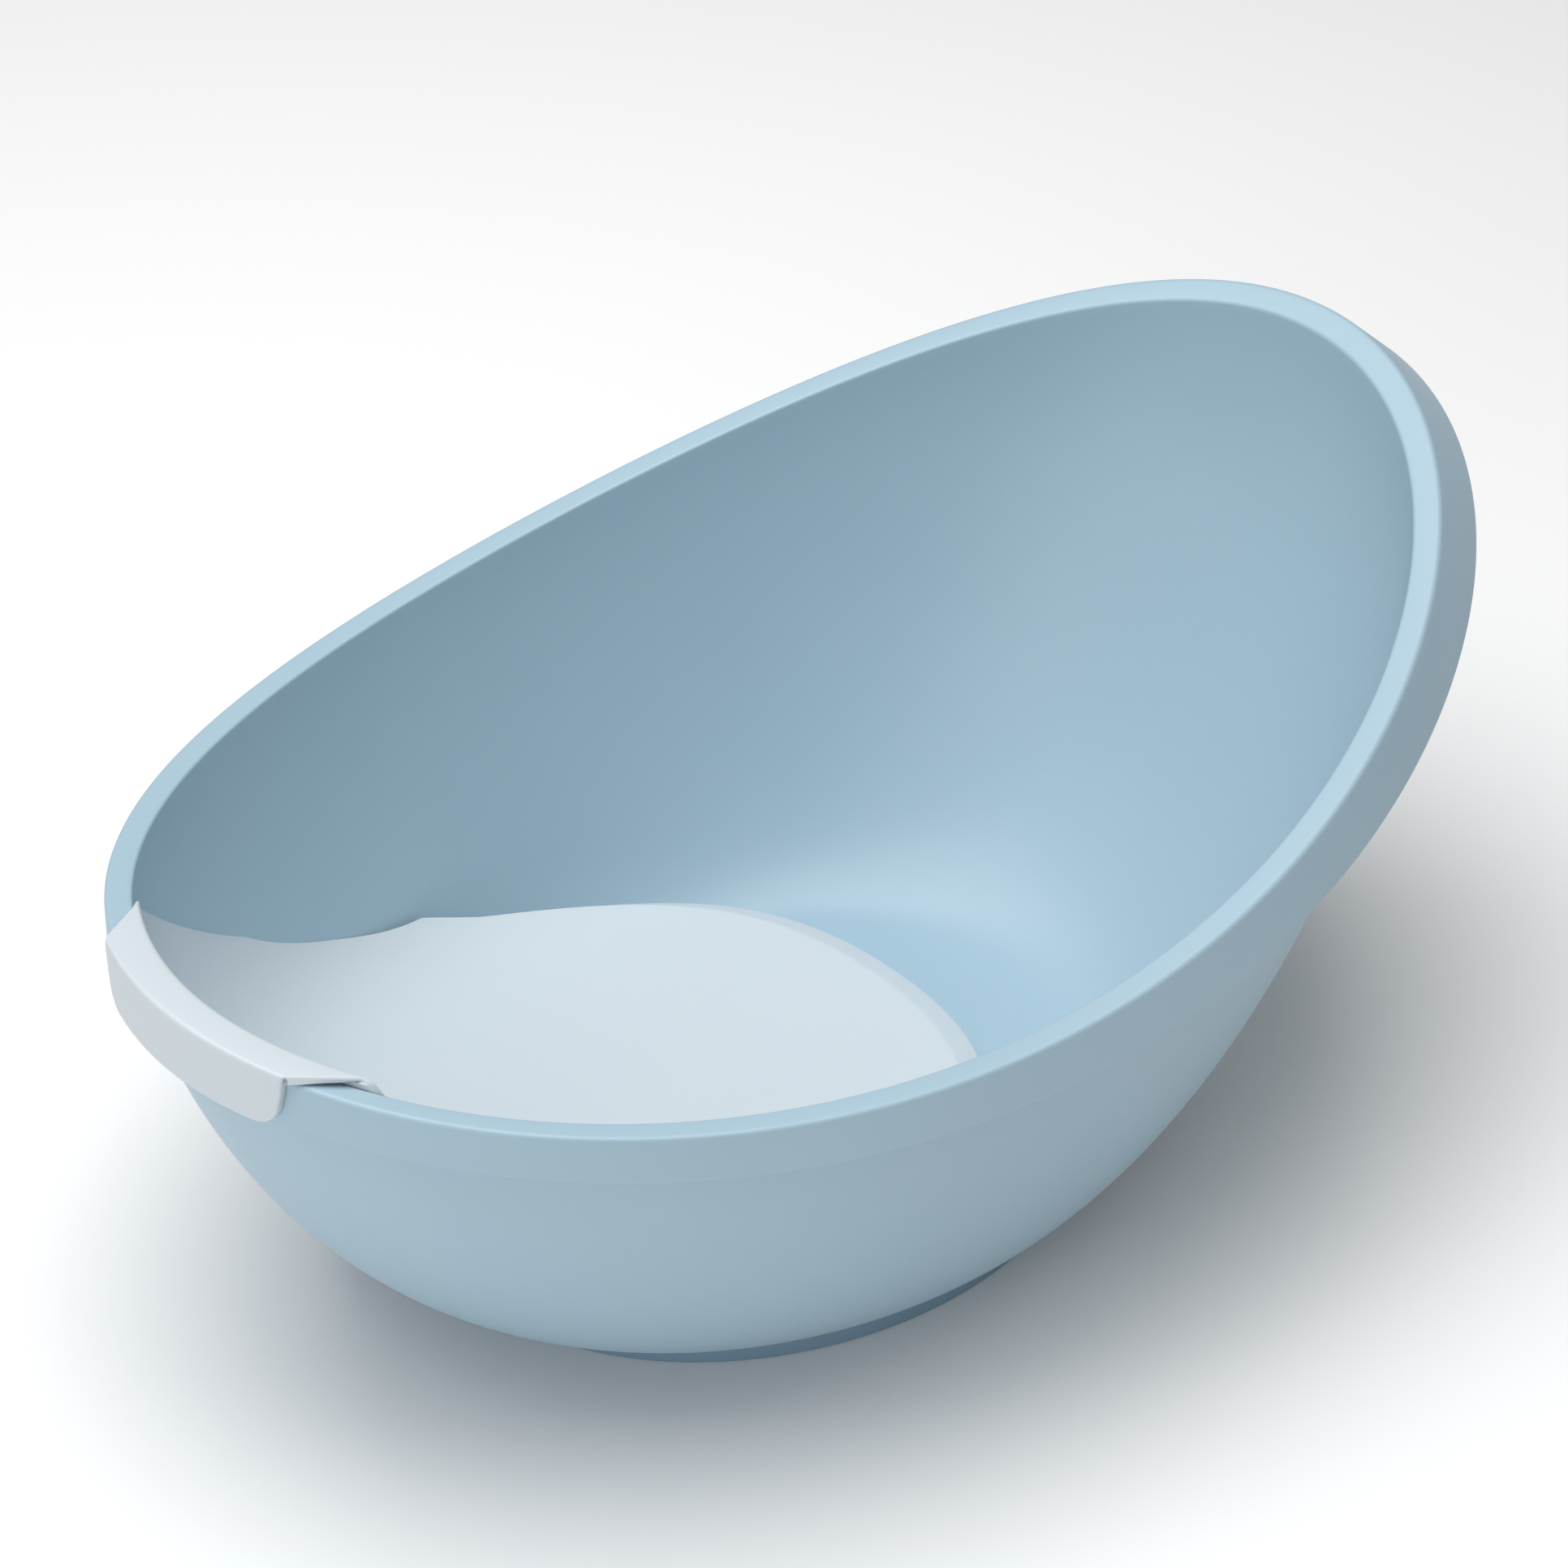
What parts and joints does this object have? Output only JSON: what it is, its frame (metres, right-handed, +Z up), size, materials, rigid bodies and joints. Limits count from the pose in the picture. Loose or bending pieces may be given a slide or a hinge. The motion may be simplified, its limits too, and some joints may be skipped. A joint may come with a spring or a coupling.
{
  "type": "baby bathtub",
  "caption": "Oval baby bathtub with a rim that rises to the head end, a down-turned skirt, a lift-out raised seat hooked over the low end and a grip ring under the foot.",
  "frame": {"origin": "centre of the foot oval, on the surface that the bath stands on", "axes": "+X to the high head end of the rim, +Y to one side, +Z up"},
  "size_m": [0.7004, 0.4732, 0.3197],
  "materials": {
    "tub_plastic": "satin",
    "grip_rubber": "matte",
    "seat_plastic": "satin"
  },
  "bodies": {
    "bath": {"tub_shell": "tub_plastic", "grip_ring": "grip_rubber"},
    "seat_insert": {"seat": "seat_plastic"}
  },
  "joints": [
    {"name": "seat_lift", "type": "slide", "parent": "bath", "child": "seat_insert", "axis": [0, 0, 1], "range_m": [0, 0.3]}
  ]
}
